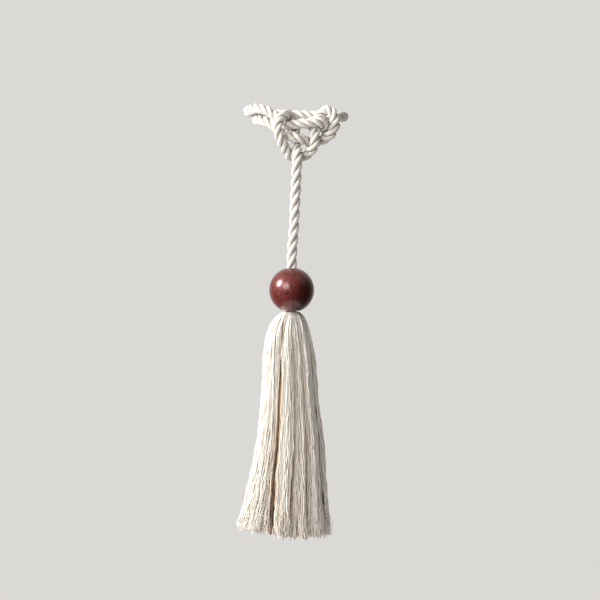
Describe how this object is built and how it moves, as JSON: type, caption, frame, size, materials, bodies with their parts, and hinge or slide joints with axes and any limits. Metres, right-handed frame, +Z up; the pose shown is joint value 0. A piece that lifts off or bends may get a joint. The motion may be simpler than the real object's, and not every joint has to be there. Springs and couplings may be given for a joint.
{
  "type": "curtain tieback tassel",
  "caption": "Curtain tieback: twisted cotton rope knotted round a gathered curtain, with a lacquered wooden ball and a long cotton yarn tassel hanging from the knot.",
  "frame": {"origin": "centre of the rope band, where the gathered curtain goes through, midway between the band's left and right ends", "axes": "+Z up, against the way the tassel hangs; -Y towards the room, the side with the knot; +X to the right seen from the room"},
  "size_m": [0.1092, 0.1247, 0.4341],
  "materials": {
    "cotton_rope": "three-strand twisted natural cotton, matt",
    "lacquered_wood": "red-brown stained hardwood under clear high-gloss lacquer",
    "cotton_yarn": "loose cream cotton yarn, soft sheen"
  },
  "bodies": {
    "root": {"rope": "cotton_rope", "ball": "lacquered_wood", "skirt": "cotton_yarn"}
  },
  "joints": []
}
